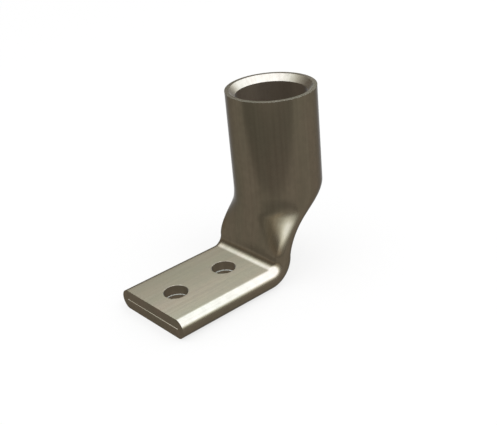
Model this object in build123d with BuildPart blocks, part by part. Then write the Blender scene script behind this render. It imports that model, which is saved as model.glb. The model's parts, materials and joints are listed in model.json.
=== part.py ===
"""Angle cable lug: one length of tube, flattened at one end, bent square and pierced for two bolts.

Millimetres. The tongue lies in the XY plane on its mounting face, +X runs from the tongue's tip
towards the barrel and +Z up along the barrel. The origin is on the mounting face, midway between
the two bolt holes.
"""
from build123d import *
from math import atan, cos, degrees, pi, radians, sin, tan
import os

# Round barrel that takes the cable, with a flared mouth
barrel_diameter = 38.1
bore_diameter = 30.2
barrel_length = 41.6
mouth_diameter = 34.6
mouth_depth = 2.7

# Tongue: the tube flattened to two layers, with a round fold along either side
tongue_thickness = 8.6
tongue_width = 40.5
tongue_flat_width = 33.8

# Seam between the two layers: all that is left of the bore in the tongue
seam_width = 33.3
seam_gap = 0.4

# Bolt holes through both layers
hole_diameter = 10.3
hole_spacing = 25.4
tip_to_hole = 12.6
bend_to_hole = 10.2

# Square bend between the tongue and the neck, whose front stands forward of the barrel
bend_inside_radius = 3.7
neck_step = 1.45

# Neck, where the tube goes from round to flat. Each change of section starts and finishes at a share
# of the neck's height below the barrel, and each of these corners is rounded over a share either way
neck_height = 24.5
closing = dict(start=0.170, finish=0.784, lead_in=0.170, lead_out=0.331)
spreading = dict(start=0.306, finish=0.904, lead_in=0.060, lead_out=0.060)
squaring = dict(start=0.566, finish=0.974, lead_in=0.179, lead_out=0.010)
neck_stations = 12
points_per_curve = 5

# Hollow of the neck. Its back closes higher up than the outside's does, because the wall slants there
# and keeps its thickness. Its sides are straight, and start from a narrow strip of the bore
hollow_closing = dict(start=0.064, finish=0.685, lead_in=0.087, lead_out=0.385)
hollow_spreading = dict(start=0.600, finish=0.970, lead_in=0.100, lead_out=0.020)
hollow_strip_angle = 5.4
hollow_stations = 14

barrel_radius = barrel_diameter / 2
bore_radius = bore_diameter / 2
bend_x = hole_spacing / 2 + bend_to_hole
neck_front_x = bend_x + bend_inside_radius
neck_middle_x = neck_front_x + tongue_thickness / 2
barrel_x = neck_front_x + neck_step + barrel_radius
neck_foot_z = bend_inside_radius + tongue_thickness
neck_top_z = neck_foot_z + neck_height
mouth_z = neck_top_z + barrel_length
tongue_middle_z = tongue_thickness / 2
tongue_tip_x = -hole_spacing / 2 - tip_to_hole
bend_middle_radius = neck_foot_z - tongue_middle_z

# Each fold of the tongue is an arc that turns through fold_angle either side of its middle. Round
# sections are cut front_angle either side of their front, to match the tongue's flat to its fold, and
# the hollow's are cut hollow_angle either side
flat_share = tongue_flat_width / tongue_width
fold_angle = 2 * atan((tongue_width - tongue_flat_width) / tongue_thickness)
fold_radius = tongue_middle_z / sin(fold_angle)
front_angle = pi / (2 + 2 * fold_angle * tongue_thickness / tongue_flat_width)
hollow_angle = (pi - radians(hollow_strip_angle)) / 2


def rounded_corner(distance, reach):
    """A line flat before zero and rising one for one after it, its corner rounded over reach."""
    if distance <= -reach:
        return 0.0
    if distance >= reach:
        return distance
    return (distance + reach) ** 2 / (4 * reach)


def ramp(share, start, finish, lead_in, lead_out):
    """How far a change has gone at a share of the neck's height, 0 at the barrel and 1 at the bend."""

    def risen(at):
        return rounded_corner(at - start, lead_in) - rounded_corner(at - finish, lead_out)

    return risen(share) / risen(1.0)


def between(first, last, progress):
    """The value that lies the given share of the way from first to last."""
    return first + (last - first) * progress


def round_section(radius, half_angle):
    """A round section as a front, a side, a back and a side, its front half_angle either way."""
    middle = (barrel_x, 0)
    half_front = degrees(half_angle)
    side = 180 - 2 * half_front
    return [
        CenterArc(middle, radius, 180 - half_front, 2 * half_front),
        CenterArc(middle, radius, 180 + half_front, side),
        CenterArc(middle, radius, -half_front, 2 * half_front),
        CenterArc(middle, radius, half_front, side),
    ]


def tongue_section():
    """The tongue's outside as a front, a fold, a back and a fold."""
    half_flat = tongue_flat_width / 2
    half_width = tongue_width / 2
    front = neck_middle_x - tongue_thickness / 2
    back = neck_middle_x + tongue_thickness / 2
    return [
        Line((front, half_flat), (front, -half_flat)),
        ThreePointArc((front, -half_flat), (neck_middle_x, -half_width), (back, -half_flat)),
        Line((back, -half_flat), (back, half_flat)),
        ThreePointArc((back, half_flat), (neck_middle_x, half_width), (front, half_flat)),
    ]


def seam_section():
    """The seam as a front, a side, a back and a side."""
    half_width = seam_width / 2
    front = neck_middle_x - seam_gap / 2
    back = neck_middle_x + seam_gap / 2
    return [
        Line((front, half_width), (front, -half_width)),
        Line((front, -half_width), (back, -half_width)),
        Line((back, -half_width), (back, half_width)),
        Line((back, half_width), (front, half_width)),
    ]


class Forming:
    """A section on its way from round to flat, each point of it between its places on the two."""

    def __init__(self, front_x, back_x, half_width, square):
        self.middle_x = (front_x + back_x) / 2
        self.half_depth = (back_x - front_x) / 2
        self.half_width = half_width
        self.square = square

    def place(self, round_x, round_y, flat_x, flat_y):
        """A point from its places on a circle and on the flat section, both of half size 1."""
        x = self.half_depth * between(round_x, flat_x, self.square)
        y = self.half_width * between(round_y, flat_y, self.square)
        return x, y

    def curves(self, point, start_slope, end_slope):
        """The curve that a formula gives, and the same one turned half round to the other side."""
        steps = [i / (points_per_curve - 1) for i in range(points_per_curve)]
        return [
            Edge.make_spline(
                [(self.middle_x + way * x, way * y) for x, y in map(point, steps)],
                tangents=[(way * x, way * y) for x, y in (start_slope, end_slope)],
                parameters=steps,
                scale=False,
            )
            for way in (1, -1)
        ]

    def front_and_back(self, half_angle, flat_part):
        """The front and the back: arcs of half_angle either way that turn flat."""

        def point(step):
            across = 1 - 2 * step
            turn = half_angle * across
            return self.place(-cos(turn), sin(turn), -1.0, flat_part * across)

        round_speed = 2 * half_angle
        x, y = self.place(
            round_speed * sin(half_angle), round_speed * cos(half_angle), 0.0, 2 * flat_part
        )
        return self.curves(point, (-x, -y), (x, -y))

    def sides(self):
        """The two sides: what the front and back leave of the circle, turning into the folds."""
        side_angle = pi - 2 * front_angle
        fold_part = fold_radius / (tongue_width / 2)

        def point(step):
            turn = front_angle + side_angle * step
            fold_turn = fold_angle * (2 * step - 1)
            fold_y = fold_part * (1 - cos(fold_turn)) - 1
            return self.place(-cos(turn), -sin(turn), sin(fold_turn) / sin(fold_angle), fold_y)

        fold_speed = 2 * fold_angle
        x, y = self.place(
            side_angle * sin(front_angle),
            side_angle * cos(front_angle),
            fold_speed / tan(fold_angle),
            fold_speed * fold_part * sin(fold_angle),
        )
        return self.curves(point, (x, -y), (x, y))


def neck_section(share):
    """The neck's outside at a share of its height. Front, back and width each follow their ramp."""
    spread = ramp(share, **spreading)
    section = Forming(
        front_x=between(barrel_x - barrel_radius, neck_front_x, spread),
        back_x=between(
            barrel_x + barrel_radius, neck_front_x + tongue_thickness, ramp(share, **closing)
        ),
        half_width=between(barrel_radius, tongue_width / 2, spread),
        square=ramp(share, **squaring),
    )
    front, back = section.front_and_back(front_angle, flat_share)
    near_side, far_side = section.sides()
    return [front, near_side, back, far_side]


def hollow_section(share):
    """The neck's hollow at a share of its height, on its way from the bore to the seam."""
    closed = ramp(share, **hollow_closing)
    spread = ramp(share, **hollow_spreading)
    section = Forming(
        front_x=between(barrel_x - bore_radius, neck_middle_x - seam_gap / 2, share),
        back_x=between(barrel_x + bore_radius, neck_middle_x + seam_gap / 2, closed),
        half_width=between(bore_radius, seam_width / 2, spread),
        square=ramp(share, **squaring),
    )
    front, back = section.front_and_back(hollow_angle, 1.0)
    return [front, Edge.make_line(front @ 1, back @ 0), back, Edge.make_line(back @ 1, front @ 0)]


def neck_faces(top, section, stations, foot):
    """Faces from the barrel down to the bend: the top, a section at each station, and the foot."""
    outlines = [top]
    for station in range(1, stations):
        outlines.append(section(station / stations))
    outlines.append(foot)
    drop = neck_height / stations
    return [
        Plane.XY.offset(neck_top_z - drop * station) * make_face(outline)
        for station, outline in enumerate(outlines)
    ]


neck_outside = neck_faces(
    round_section(barrel_radius, front_angle), neck_section, neck_stations, tongue_section()
)
neck_hollow = neck_faces(
    round_section(bore_radius, hollow_angle), hollow_section, hollow_stations, seam_section()
)

with BuildPart() as lug:
    # Outside of the barrel, the neck, the bend and the tongue
    with BuildSketch(Plane.XY.offset(neck_top_z)):
        with Locations((barrel_x, 0)):
            Circle(barrel_radius)
    extrude(amount=barrel_length)
    loft(neck_outside)
    with BuildLine(Plane.XZ) as tongue_path:
        bend = CenterArc((bend_x, neck_foot_z), bend_middle_radius, 0, -90)
        Line(bend @ 1, (tongue_tip_x, tongue_middle_z))
    sweep(neck_outside[-1])

    # Cable bore with its flared mouth
    with BuildSketch(Plane.XY.offset(mouth_z)):
        with Locations((barrel_x, 0)):
            Circle(bore_radius)
    extrude(amount=-barrel_length, mode=Mode.SUBTRACT)
    with BuildSketch(Plane.XZ):
        with BuildLine():
            Polyline(
                (barrel_x, mouth_z - mouth_depth),
                (barrel_x + bore_radius, mouth_z - mouth_depth),
                (barrel_x + mouth_diameter / 2, mouth_z),
                (barrel_x, mouth_z),
                close=True,
            )
        make_face()
    revolve(axis=Axis((barrel_x, 0, 0), (0, 0, 1)), mode=Mode.SUBTRACT)

    # Hollow of the neck, closing to the seam that runs between the tongue's two layers to its tip
    loft(neck_hollow, ruled=True, mode=Mode.SUBTRACT)
    sweep(neck_hollow[-1], path=tongue_path.line, mode=Mode.SUBTRACT)

    # Bolt holes
    with GridLocations(hole_spacing, 0, 2, 1):
        Hole(hole_diameter / 2)

lug.part.label = "lug_body"
os.makedirs("parts", exist_ok=True)
export_step(lug.part, "parts/lug_body.step")
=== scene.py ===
import json
from math import cos, pi, radians, sin, tau

import bpy
import numpy as np
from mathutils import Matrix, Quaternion, Vector


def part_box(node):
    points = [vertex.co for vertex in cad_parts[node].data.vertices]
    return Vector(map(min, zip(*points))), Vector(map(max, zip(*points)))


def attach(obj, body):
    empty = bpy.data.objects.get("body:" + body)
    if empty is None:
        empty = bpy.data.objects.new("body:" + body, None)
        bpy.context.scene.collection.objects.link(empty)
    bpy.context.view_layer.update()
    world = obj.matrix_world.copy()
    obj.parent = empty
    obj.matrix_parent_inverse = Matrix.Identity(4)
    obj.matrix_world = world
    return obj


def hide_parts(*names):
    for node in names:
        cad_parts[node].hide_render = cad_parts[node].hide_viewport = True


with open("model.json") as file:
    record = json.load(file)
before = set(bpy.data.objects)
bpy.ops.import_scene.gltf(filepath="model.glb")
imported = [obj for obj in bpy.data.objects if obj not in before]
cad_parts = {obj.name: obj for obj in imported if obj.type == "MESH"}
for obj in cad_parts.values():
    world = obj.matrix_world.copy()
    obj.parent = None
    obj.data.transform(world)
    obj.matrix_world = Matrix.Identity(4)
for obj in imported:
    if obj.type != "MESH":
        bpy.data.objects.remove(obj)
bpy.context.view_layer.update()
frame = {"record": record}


# Lug body, the tube. The real one is a length of round copper tube. One end is pressed flat to two
# layers, bent square for a tongue and pierced for two bolts, and the other is the cable's barrel.
mm = 0.001
mounts = {mount["name"]: mount for mount in frame["record"]["mounts"]}
box_low, box_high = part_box("lug_body")

barrel_x = mounts["barrel_bore"]["pos_m"][0]
bore_radius = mounts["barrel_bore"]["dims"]["r_mm"] * mm
barrel_radius = box_high.x - barrel_x
mouth_radius = 17.3 * mm
mouth_depth = 2.7 * mm
mouth_z = box_high.z
flare_z = mouth_z - mouth_depth

tongue_thickness = mounts["washer_seat"]["pos_m"][2]
tongue_width = 40.5 * mm
tongue_flat_width = 33.8 * mm
tongue_tip_x = box_low.x
seam_width = 33.3 * mm
seam_gap = 0.4 * mm

bend_inside_radius = 3.7 * mm
bend_x = 22.9 * mm
neck_height = 24.5 * mm
neck_front_x = bend_x + bend_inside_radius
neck_middle_x = neck_front_x + tongue_thickness / 2
neck_foot_z = bend_inside_radius + tongue_thickness
neck_top_z = neck_foot_z + neck_height
bend_middle_radius = neck_foot_z - tongue_thickness / 2
tongue_reach = bend_x - tongue_tip_x

# Where each change of section starts and finishes, as a share of the neck's height below the barrel
closing = dict(start=0.170, finish=0.784, lead_in=0.170, lead_out=0.331)
spreading = dict(start=0.306, finish=0.904, lead_in=0.060, lead_out=0.060)
squaring = dict(start=0.566, finish=0.974, lead_in=0.179, lead_out=0.010)
hollow_closing = dict(start=0.064, finish=0.685, lead_in=0.087, lead_out=0.385)
hollow_spreading = dict(start=0.600, finish=0.970, lead_in=0.100, lead_out=0.020)

# Roundings of the cut edges: the rim and the tongue's end, the slit in that end, and the flare's foot
edge_radius = 0.02 * mm
lip_radius = 0.02 * mm
flare_crease = 0.05 * mm

# Points of the grid: in columns over half of each section, and in rows on each stretch of the tube
columns_per_front = 40
columns_per_side = 26
edge_rows = 5
barrel_rows = 16
neck_rows = 60
hollow_rows = 50
bend_rows = 26
tongue_rows = 20


def ramp(share, start, finish, lead_in, lead_out):
    """How far a change has gone at a share of the neck's height, 0 at the barrel and 1 at the bend.

    A straight rise from start to finish, each of its corners a parabola that reaches lead either way:
    the corner is (d + lead)^2 / (4 lead) while d is within lead of it, and d beyond.
    """

    def risen(at):
        def corner(d, lead):
            return np.clip(d + lead, 0, 2 * lead) ** 2 / (4 * lead) + np.maximum(d - lead, 0)

        return corner(at - start, lead_in) - corner(at - finish, lead_out)

    return risen(share) / risen(1.0)


def between(first, last, progress):
    """The value the given share of the way from first to last."""
    return first + (last - first) * progress


def outlines(fold_angle, fold_share):
    """A round outline and a flat one of half size 1, as two rows of points in the same order.

    The round one is a circle cut front_angle either side of its front, -X. The flat one has straight
    front and back, and each side is an arc of radius fold_share through fold_angle either way. Each is
    worked out for the front and one side, and turned half round for the rest.
    """
    front_share = np.linspace(0, 1, columns_per_front, endpoint=False)
    across = 1 - 2 * front_share
    flat_share = 1 - fold_share * (1 - cos(fold_angle))
    round_front = np.stack([-np.cos(front_angle * across), np.sin(front_angle * across)])
    flat_front = np.stack([-np.ones(columns_per_front), flat_share * across])

    side_share = np.linspace(0, 1, columns_per_side, endpoint=False)
    turn = front_angle + (pi - 2 * front_angle) * side_share
    fold_turn = fold_angle * (2 * side_share - 1)
    fold_x = np.sin(fold_turn) / sin(fold_angle)
    fold_y = fold_share * (1 - np.cos(fold_turn)) - 1
    round_side = np.stack([-np.cos(turn), -np.sin(turn)])
    flat_side = np.stack([fold_x, fold_y])

    half_round = np.concatenate([round_front, round_side], axis=1)
    half_flat = np.concatenate([flat_front, flat_side], axis=1)
    return [np.concatenate([half, -half], axis=1) for half in (half_round, half_flat)]


def sections(outline_pair, front_x, back_x, half_width, square, inset):
    """Rows of section points: each lies the share square of the way from the round outline to the flat.

    Both are stretched to reach from front_x to back_x and half_width either way. Then each point moves
    inwards by inset along its own normal, the chord of its two neighbours turned a quarter round.
    """
    (round_x, round_y), (flat_x, flat_y) = outline_pair
    x = (front_x + back_x) / 2 + (back_x - front_x) / 2 * between(round_x, flat_x, square)
    y = half_width * between(round_y, flat_y, square)
    chord_x = np.roll(x, -1, axis=1) - np.roll(x, 1, axis=1)
    chord_y = np.roll(y, -1, axis=1) - np.roll(y, 1, axis=1)
    length = np.hypot(chord_x, chord_y)
    return x - inset * chord_y / length, y + inset * chord_x / length


def quarter(rising=True):
    """Sine and one minus cosine over a quarter turn, for the rows that round an edge."""
    turn = np.linspace(0, pi / 2, edge_rows)
    if not rising:
        turn = turn[::-1]
    return np.sin(turn), 1 - np.cos(turn)


def stacked(*runs):
    """Rows of height, turn, reach and inset, from runs that give each as a number or an array."""
    return np.concatenate([np.stack(np.broadcast_arrays(*run), axis=-1).reshape(-1, 4) for run in runs])


fold_depth = (tongue_width - tongue_flat_width) / 2
fold_angle = 2 * np.arctan(2 * fold_depth / tongue_thickness)
fold_radius = tongue_thickness / 2 / sin(fold_angle)
front_angle = pi / (2 + 2 * fold_angle * tongue_thickness / tongue_flat_width)

# Rows of the outside, from the mouth down the barrel and the neck, round the bend and along the tongue
rim_sine, rim_drop = quarter(rising=False)
tip_sine, tip_drop = quarter()
outside_rows = stacked(
    (mouth_z - edge_radius * (1 - rim_sine), 0, 0, edge_radius * rim_drop),
    (np.linspace(mouth_z - edge_radius, neck_top_z, barrel_rows)[1:], 0, 0, 0),
    (np.linspace(neck_top_z, neck_foot_z, neck_rows)[1:], 0, 0, 0),
    (neck_foot_z, np.linspace(0, pi / 2, bend_rows)[1:], 0, 0),
    (neck_foot_z, pi / 2, np.linspace(0, tongue_reach - edge_radius, tongue_rows)[1:], 0),
    (neck_foot_z, pi / 2, tongue_reach - edge_radius * (1 - tip_sine[1:]), edge_radius * tip_drop[1:]),
)
# Rows of the inside, back from the slit in the tongue's end to the flared mouth
lip_sine, lip_drop = quarter(rising=False)
flare_share = np.array([0.25, 0.5, 0.75, 0.97, 1.0])
inside_rows = stacked(
    (neck_foot_z, pi / 2, tongue_reach - lip_radius * (1 - lip_sine), -lip_radius * lip_drop),
    (neck_foot_z, pi / 2, np.linspace(tongue_reach - lip_radius, 0, tongue_rows)[1:], 0),
    (neck_foot_z, np.linspace(pi / 2, 0, bend_rows)[1:], 0, 0),
    (np.linspace(neck_foot_z, neck_top_z, hollow_rows)[1:], 0, 0, 0),
    (np.linspace(neck_top_z, flare_z - flare_crease, barrel_rows)[1:], 0, 0, 0),
    (flare_z, 0, 0, 0),
    (flare_z + mouth_depth * flare_share, 0, 0, (bore_radius - mouth_radius) * flare_share),
)


def skin(rows, outline_pair, front_x, back_x, half_width, square):
    """Points of one skin of the tube: its sections carried down, round the bend and along the tongue.

    A section point stands its distance rho from the bend's axis. At a turn it is at that distance and
    angle about the axis, lifted by the height left above it, and then drawn back along the tongue.
    """
    height, turn, reach, inset = np.split(rows, 4, axis=1)
    share = np.clip((neck_top_z - height) / neck_height, 0, 1)
    x, y = sections(outline_pair, front_x(share), back_x(share), half_width(share), square(share), inset)
    rho = x - bend_x
    return np.stack([bend_x + rho * np.cos(turn) - reach, y, height - rho * np.sin(turn)], axis=-1)


fold_pair = outlines(fold_angle, fold_radius / (tongue_width / 2))
seam_pair = outlines(pi / 2, seam_gap / seam_width)
outside = skin(
    outside_rows, fold_pair,
    front_x=lambda share: between(barrel_x - barrel_radius, neck_front_x, ramp(share, **spreading)),
    back_x=lambda share: between(
        barrel_x + barrel_radius, neck_front_x + tongue_thickness, ramp(share, **closing)),
    half_width=lambda share: between(barrel_radius, tongue_width / 2, ramp(share, **spreading)),
    square=lambda share: ramp(share, **squaring),
)
inside = skin(
    inside_rows, seam_pair,
    front_x=lambda share: between(barrel_x - bore_radius, neck_middle_x - seam_gap / 2, share),
    back_x=lambda share: between(
        barrel_x + bore_radius, neck_middle_x + seam_gap / 2, ramp(share, **hollow_closing)),
    half_width=lambda share: between(bore_radius, seam_width / 2, ramp(share, **hollow_spreading)),
    square=lambda share: ramp(share, **squaring),
)


def grid_faces(rows, columns, closed_rows=False):
    """Quads of a grid whose columns run round, and whose last row meets the first where closed."""
    row = np.arange(rows if closed_rows else rows - 1)[:, None]
    column = np.arange(columns)[None, :]
    next_row = (row + 1) % rows
    next_column = (column + 1) % columns
    corners = [row * columns + column, next_row * columns + column,
               next_row * columns + next_column, row * columns + next_column]
    return np.stack(np.broadcast_arrays(*corners), axis=-1).reshape(-1, 4).tolist()


def new_mesh(name, points, faces):
    """A mesh from an array of points and a list of faces, shaded smooth."""
    mesh = bpy.data.meshes.new(name)
    mesh.from_pydata(points.reshape(-1, 3).tolist(), [], faces)
    mesh.polygons.foreach_set("use_smooth", np.ones(len(mesh.polygons), dtype=bool))
    mesh.update()
    return mesh


def add_object(name, data):
    """A mesh, a lamp or a camera put in the scene, at the origin."""
    made = bpy.data.objects.new(name, data)
    bpy.context.scene.collection.objects.link(made)
    return made


tube_points = np.concatenate([outside, inside])
tube_rows, tube_columns = tube_points.shape[:2]
tube_mesh = new_mesh("lug", tube_points, grid_faces(tube_rows, tube_columns, closed_rows=True))

# The place that each point had on the straight round tube, for patterns that were there before the press
round_x, round_y = fold_pair[0]
height, turn, reach = np.split(np.concatenate([outside_rows, inside_rows]), 4, axis=1)[:3]
along = mouth_z - height + bend_middle_radius * turn + reach
radius = np.repeat([barrel_radius, bore_radius], [len(outside), len(inside)])[:, None]
drawn_places = np.stack(np.broadcast_arrays(radius * round_x, radius * round_y, along), axis=-1)

# How far inside a point is: 0 on the outside and the cut edges, 1 in the flare and 2 in the bore. Down
# the neck it goes on to the seam's 3 by the fourth power of the share of its height, so mostly low down
# The plating takes these depths for its roughness, for painted shade in the bore and for painted light in
# the seam
inside_z = inside_rows[:, 0]
down_neck = np.clip((neck_top_z - inside_z) / neck_height, 0, 1)
row_depths = np.where(inside_z > flare_z - flare_crease / 2, 1.0, 2 + down_neck ** 4)
row_depths[:edge_rows] = 0.0
row_depths[-1] = 0.0
row_depths = np.concatenate([np.zeros(len(outside)), row_depths])
depths = np.broadcast_to(row_depths[:, None], (tube_rows, tube_columns))


def mark(mesh, drawn_places, depths):
    """Gives each corner of a mesh its point's place on the straight tube and how far inside it is."""
    vertex = np.empty(len(mesh.loops), dtype=np.int32)
    mesh.loops.foreach_get("vertex_index", vertex)
    drawn = mesh.attributes.new("drawn", "FLOAT_VECTOR", "CORNER")
    drawn.data.foreach_set("vector", drawn_places.reshape(-1, 3)[vertex].ravel())
    inside = mesh.attributes.new("inside", "FLOAT", "CORNER")
    inside.data.foreach_set("value", depths.reshape(-1)[vertex])


mark(tube_mesh, drawn_places, depths)
lug = add_object("lug", tube_mesh)

# Bolt holes, pierced through both layers, their edges rounded where they meet the faces
hole_radius = mounts["bolt_holes"]["dims"]["hole_r_mm"] * mm
hole_spacing = mounts["bolt_holes"]["dims"]["spacing_x_mm"] * mm
hole_columns = 96
hole_edge = 0.05 * mm
punch_margin = 2.0 * mm


def punch(x):
    """Points of the punch: a circle at each height, wider by 1 - cos where it rounds the hole's edges."""
    edge_sine, edge_drop = quarter()
    edge_height = tongue_thickness - hole_edge * (1 - edge_sine)
    top = np.append(edge_height, tongue_thickness + punch_margin)
    wider = hole_edge * np.append(edge_drop, 1.0)
    height = np.concatenate([top[::-1], tongue_thickness - top])
    row_radius = hole_radius + np.concatenate([wider[::-1], wider])
    around = np.linspace(0, tau, hole_columns, endpoint=False)
    return np.stack([
        x + row_radius[:, None] * np.cos(around),
        row_radius[:, None] * np.sin(around),
        np.broadcast_to(height[:, None], (len(height), hole_columns)),
    ], axis=-1)


for side in (-1, 1):
    punch_points = punch(side * hole_spacing / 2)
    punch_rows = len(punch_points)
    corners = np.arange(punch_rows * hole_columns).reshape(punch_rows, hole_columns)
    punch_ends = [corners[0].tolist(), corners[-1, ::-1].tolist()]
    punch_mesh = new_mesh("punch", punch_points, grid_faces(punch_rows, hole_columns) + punch_ends)
    mark(punch_mesh, punch_points, np.zeros(punch_points.shape[:2]))
    punch_object = add_object("punch", punch_mesh)
    cut = lug.modifiers.new("hole", "BOOLEAN")
    cut.operation = "DIFFERENCE"
    cut.solver = "EXACT"
    cut.object = punch_object
    pierced = lug.evaluated_get(bpy.context.evaluated_depsgraph_get())
    pierced_mesh = bpy.data.meshes.new_from_object(pierced)
    lug.modifiers.clear()
    lug.data = pierced_mesh
    bpy.data.objects.remove(punch_object)

sharp_angle = radians(30)
lug.data.set_sharp_from_angle(angle=sharp_angle)
weighted = lug.modifiers.new("flat faces stay flat", "WEIGHTED_NORMAL")
weighted.keep_sharp = True
weighted.mode = "FACE_AREA"

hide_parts("lug_body")
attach(lug, "root")

# The lug mirrors the studio and not itself, so its long plain highlights aren't broken up
lug.visible_glossy = False


def linear(colour):
    """An sRGB hex colour as linear red, green and blue, with alpha 1."""
    parts = [int(colour[i:i + 2], 16) / 255 for i in (1, 3, 5)]
    return [p / 12.92 if p <= 0.04045 else ((p + 0.055) / 1.055) ** 2.4 for p in parts] + [1.0]


def bare_tree(owner):
    """The node tree of a material or a world, emptied."""
    owner.use_nodes = True
    owner.node_tree.nodes.clear()
    return owner.node_tree


def add_node(tree, kind, inputs=None, **settings):
    """Adds a node with its settings. An input is a value, or another node's output to link."""
    node = tree.nodes.new(kind)
    for name, value in settings.items():
        setattr(node, name, value)
    for name, value in (inputs or {}).items():
        if isinstance(value, bpy.types.NodeSocket):
            tree.links.new(value, node.inputs[name])
        else:
            node.inputs[name].default_value = value
    return node


# Dull tin plating: a smooth grey-brown metal. Close to, the eye finds fine lines that the drawing of the
# tube left along it, a slow drift from olive to reddish brown, and a faint mottle in its shine.
plating = bpy.data.materials.new("dull tin plating")
tree = bare_tree(plating)
drawn_place = add_node(tree, "ShaderNodeAttribute", attribute_name="drawn").outputs["Vector"]
depth = add_node(tree, "ShaderNodeAttribute", attribute_name="inside").outputs["Fac"]
object_place = add_node(tree, "ShaderNodeTexCoord").outputs["Object"]


def drawn_noise(across, along, detail):
    """Noise on the straight tube, with spots of the given size across it and along it."""
    at = add_node(tree, "ShaderNodeMapping", {
        "Vector": drawn_place, "Scale": (1 / across, 1 / across, 1 / along)})
    noise = add_node(tree, "ShaderNodeTexNoise", {
        "Vector": at.outputs["Vector"], "Scale": 1.0, "Detail": detail})
    return noise.outputs["Fac"]


# Real drawing lines are finer than the picture can show, so these stand 1 mm apart
line_spacing = 1.0 * mm
line_length = 60 * mm
line_height = 0.01 * mm
line_strength = 0.1
drift_width = 13 * mm
drift_length = 40 * mm
mottle_size = 2.5 * mm
drift = drawn_noise(drift_width, drift_length, detail=1.0)
lines = drawn_noise(line_spacing, line_length, detail=2.0)
mottle = add_node(tree, "ShaderNodeTexNoise", {
    "Vector": object_place, "Scale": 1 / mottle_size, "Detail": 4.0}).outputs["Fac"]

# Each colour comes in over the last as its pattern goes from low to high, up to the share most. The last
# two are painted: painted shade that darkens the bore, and painted light that lightens the seam
tone = linear("#5a5344")
for pattern, low, high, most, colour in (
    (drift, 0.30, 0.70, 1.0, "#5f5446"),
    (lines, 0.35, 0.65, 0.15, "#766e5d"),
    (mottle, 0.40, 0.65, 0.2, "#494336"),
    # painted shade: darker in the bore, from the flare down
    (depth, 1.0, 2.0, 0.8, "#3f372e"),
    # painted light: lighter in the seam, so that the narrow slit shows a light line
    (depth, 2.0, 3.0, 1.0, "#5f594b"),
):
    share = add_node(tree, "ShaderNodeMapRange", {
        "Value": pattern, "From Min": low, "From Max": high, "To Max": most}).outputs["Result"]
    mix = add_node(tree, "ShaderNodeMix", {"Factor": share, 6: tone, 7: linear(colour)}, data_type="RGBA")
    tone = mix.outputs[2]

# The mottle dulls the shine a little, the flare and the bore more, and the seam most
roughness = 0.19
for pattern, low, high, most in (
    (mottle, 0.35, 0.65, 0.04),
    (depth, 0.0, 1.0, 0.14),
    (depth, 2.0, 3.0, 0.4),
):
    duller = add_node(tree, "ShaderNodeMapRange", {
        "Value": pattern, "From Min": low, "From Max": high, "To Max": most}).outputs["Result"]
    roughness = add_node(tree, "ShaderNodeMath", {0: roughness, 1: duller}).outputs["Value"]

relief = add_node(tree, "ShaderNodeBump", {
    "Height": lines, "Strength": line_strength, "Distance": line_height})
metal = add_node(tree, "ShaderNodeBsdfPrincipled", {
    "Base Color": tone, "Metallic": 1.0, "Roughness": roughness, "Specular Tint": linear("#bebebe"),
    "Normal": relief.outputs["Normal"]})
add_node(tree, "ShaderNodeOutputMaterial", {"Surface": metal.outputs["BSDF"]})
lug.data.materials.append(plating)


# Floor: a plain board painted matt white, which takes the lug's soft shadow. It glows to the camera and
# in reflections alone, so that it looks white in both.
floor_reach = 4.0
floor_z = -0.05 * mm
floor_glow = 0.72
floor_points = np.array([
    (-floor_reach, -floor_reach, floor_z), (floor_reach, -floor_reach, floor_z),
    (floor_reach, floor_reach, floor_z), (-floor_reach, floor_reach, floor_z)])
floor = add_object("floor", new_mesh("floor", floor_points, [(0, 1, 2, 3)]))

floor_paint = bpy.data.materials.new("matt white paint")
tree = bare_tree(floor_paint)
rays = add_node(tree, "ShaderNodeLightPath").outputs
seen = rays["Is Camera Ray"]
for ray in ("Is Glossy Ray", "Is Transmission Ray"):
    seen = add_node(tree, "ShaderNodeMath", {0: seen, 1: rays[ray]}, operation="MAXIMUM").outputs["Value"]
matt = add_node(tree, "ShaderNodeBsdfDiffuse", {"Color": linear("#8c8c8c")}).outputs["BSDF"]
glow = add_node(tree, "ShaderNodeEmission", {"Color": linear("#ffffff"), "Strength": floor_glow})
glowing = add_node(tree, "ShaderNodeAddShader", {0: matt, 1: glow.outputs["Emission"]}).outputs["Shader"]
white = add_node(tree, "ShaderNodeMixShader", {0: seen, 1: matt, 2: glowing})
add_node(tree, "ShaderNodeOutputMaterial", {"Surface": white.outputs["Shader"]})
floor.data.materials.append(floor_paint)


# Studio light: a pale room and one soft lamp. Over them a light tent, which only shiny surfaces see: a
# dome of thin cloth lit from outside, brightest round its top and fading down its sides.
world = bpy.data.worlds.new("pale room")
bpy.context.scene.world = world
tree = bare_tree(world)
room = add_node(tree, "ShaderNodeBackground", {"Color": linear("#ffffff"), "Strength": 1.0})
add_node(tree, "ShaderNodeOutputWorld", {"Surface": room.outputs["Background"]})


def direction(azimuth, elevation):
    """The unit vector that points to an azimuth and an elevation, in degrees."""
    around = radians(azimuth)
    up = radians(elevation)
    return Vector((cos(up) * cos(around), cos(up) * sin(around), sin(up)))


lamp_size = 0.6
lamp_radiance = 2.0
lamp_distance = 1.2
lamp_way = direction(-60, 60)
lamp_data = bpy.data.lights.new("soft lamp", "AREA")
lamp_data.size = lamp_size
lamp_data.energy = lamp_radiance * pi * lamp_size ** 2
lamp = add_object("soft lamp", lamp_data)
lamp.location = lamp_way * lamp_distance
lamp.rotation_mode = "QUATERNION"
lamp.rotation_quaternion = lamp_way.to_track_quat("Z", "Y")
lamp.visible_glossy = False


def show_in_reflections_only(thing):
    """Hides a thing of the studio from camera, diffuse and shadow rays."""
    thing.visible_camera = False
    thing.visible_diffuse = False
    thing.visible_shadow = False


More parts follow.
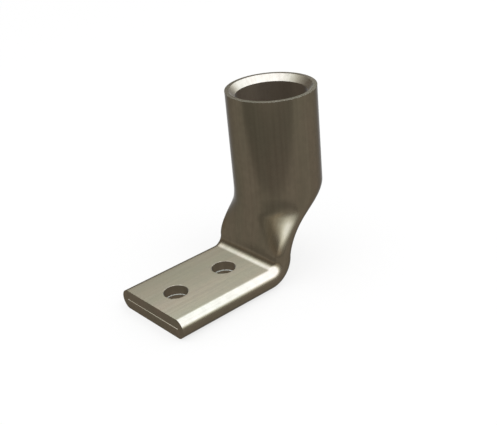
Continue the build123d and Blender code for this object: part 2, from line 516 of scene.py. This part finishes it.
tent_radius = 1.5
tent_rows = 17
tent_columns = 48
up = np.linspace(0, pi / 2, tent_rows)[:, None]
around = np.linspace(0, tau, tent_columns, endpoint=False)
tent_points = tent_radius * np.stack(np.broadcast_arrays(
    np.cos(up) * np.cos(around), np.cos(up) * np.sin(around), np.sin(up)), axis=-1)
tent = add_object("light tent", new_mesh("light tent", tent_points, grid_faces(tent_rows, tent_columns)))
show_in_reflections_only(tent)

# The tent's light follows the cosine of the angle from its axis: tent_low and no more at tent_starts,
# then by a power up to its peak at tent_full. A soft patch low on one side, for the neck, follows the
# cosine from its own middle. The hem, below hem_top of the tent's height, brightens down to the floor
tent_axis = direction(-50, 74)
tent_starts = 0.087
tent_full = 0.643
tent_power = 3.35
tent_peak = 15.5
tent_low = 0.65
patch_way = direction(-145, 30)
patch_starts = 0.80
patch_full = 0.985
patch_level = 1.3
hem_top = 0.25
hem_level = 1.0

# Lit tent cloth: an even glow with no weave to see, warm low down and cooler towards its peak
cloth = bpy.data.materials.new("lit tent cloth")
tree = bare_tree(cloth)
tent_place = add_node(tree, "ShaderNodeTexCoord").outputs["Object"]
way = add_node(tree, "ShaderNodeVectorMath", {0: tent_place}, operation="NORMALIZE").outputs["Vector"]
to_axis, to_patch = (
    add_node(tree, "ShaderNodeVectorMath", {0: way, 1: middle}, operation="DOT_PRODUCT").outputs["Value"]
    for middle in (tent_axis, patch_way))
rise = add_node(tree, "ShaderNodeMapRange", {
    "Value": to_axis, "From Min": tent_starts, "From Max": tent_full}).outputs["Result"]
patch = add_node(tree, "ShaderNodeMapRange", {
    "Value": to_patch, "From Min": patch_starts, "From Max": patch_full, "To Max": patch_level})
height = add_node(tree, "ShaderNodeSeparateXYZ", {"Vector": way}).outputs["Z"]
hem = add_node(tree, "ShaderNodeMapRange", {
    "Value": height, "From Max": hem_top, "To Min": hem_level, "To Max": tent_low})
base = add_node(tree, "ShaderNodeMath", {0: hem.outputs["Result"], 1: patch.outputs["Result"]})
peak = add_node(tree, "ShaderNodeMath", {0: rise, 1: tent_power}, operation="POWER")
strength = add_node(tree, "ShaderNodeMath", {
    0: peak.outputs["Value"], 1: tent_peak, 2: base.outputs["Value"]}, operation="MULTIPLY_ADD")
tint = linear("#fff8ee")
for low, high, colour in ((0.0, 0.6, "#e7f4fa"), (0.65, 1.0, "#c9dafa")):
    share = add_node(tree, "ShaderNodeMapRange", {
        "Value": rise, "From Min": low, "From Max": high}).outputs["Result"]
    mix = add_node(tree, "ShaderNodeMix", {"Factor": share, 6: tint, 7: linear(colour)}, data_type="RGBA")
    tint = mix.outputs[2]
lit = add_node(tree, "ShaderNodeEmission", {"Color": tint, "Strength": strength.outputs["Value"]})
add_node(tree, "ShaderNodeOutputMaterial", {"Surface": lit.outputs["Emission"]})
tent.data.materials.append(cloth)

# A card of plain grey paper, which only shiny surfaces see, lies on the floor before the lug and widens
# away from it. Its reflection darkens the middle of the barrel
card_way = direction(-145, 0)
card_near = 0.095
card_far = 0.25
card_near_reach = 0.2
card_far_reach = 0.39
card_z = 1.0 * mm
card_along = np.array([card_near, card_near, card_far, card_far])
card_across = np.array([-card_near_reach, card_near_reach, card_far_reach, -card_far_reach])
card_points = np.stack([
    barrel_x + card_along * card_way.x + card_across * card_way.y,
    card_along * card_way.y - card_across * card_way.x,
    np.full(4, card_z)], axis=-1)
card = add_object("grey card", new_mesh("grey card", card_points, [(0, 1, 2, 3)]))
show_in_reflections_only(card)
paper = bpy.data.materials.new("grey paper")
tree = bare_tree(paper)
grey = add_node(tree, "ShaderNodeBsdfDiffuse", {"Color": linear("#c3c3c3")})
add_node(tree, "ShaderNodeOutputMaterial", {"Surface": grey.outputs["BSDF"]})
card.data.materials.append(paper)


# Camera: where the photograph was taken from, above the tongue's end and to one side, with a long lens
# and rolled a little.
camera_place = Vector((-0.18472, -0.26007, 0.19522))
camera_aim = Vector((0.02913, 0.0, 0.02795))
camera_roll = radians(5.484)
focal_length = 64.61
sensor_width = 36.0
camera_data = bpy.data.cameras.new("camera")
camera_data.sensor_width = sensor_width
camera_data.lens = focal_length
camera = add_object("camera", camera_data)
camera.location = camera_place
camera.rotation_mode = "QUATERNION"
level = (camera_aim - camera_place).to_track_quat("-Z", "Y")
camera.rotation_quaternion = level @ Quaternion((0, 0, 1), -camera_roll)
bpy.context.scene.camera = camera
bpy.context.scene.view_settings.view_transform = "Standard"
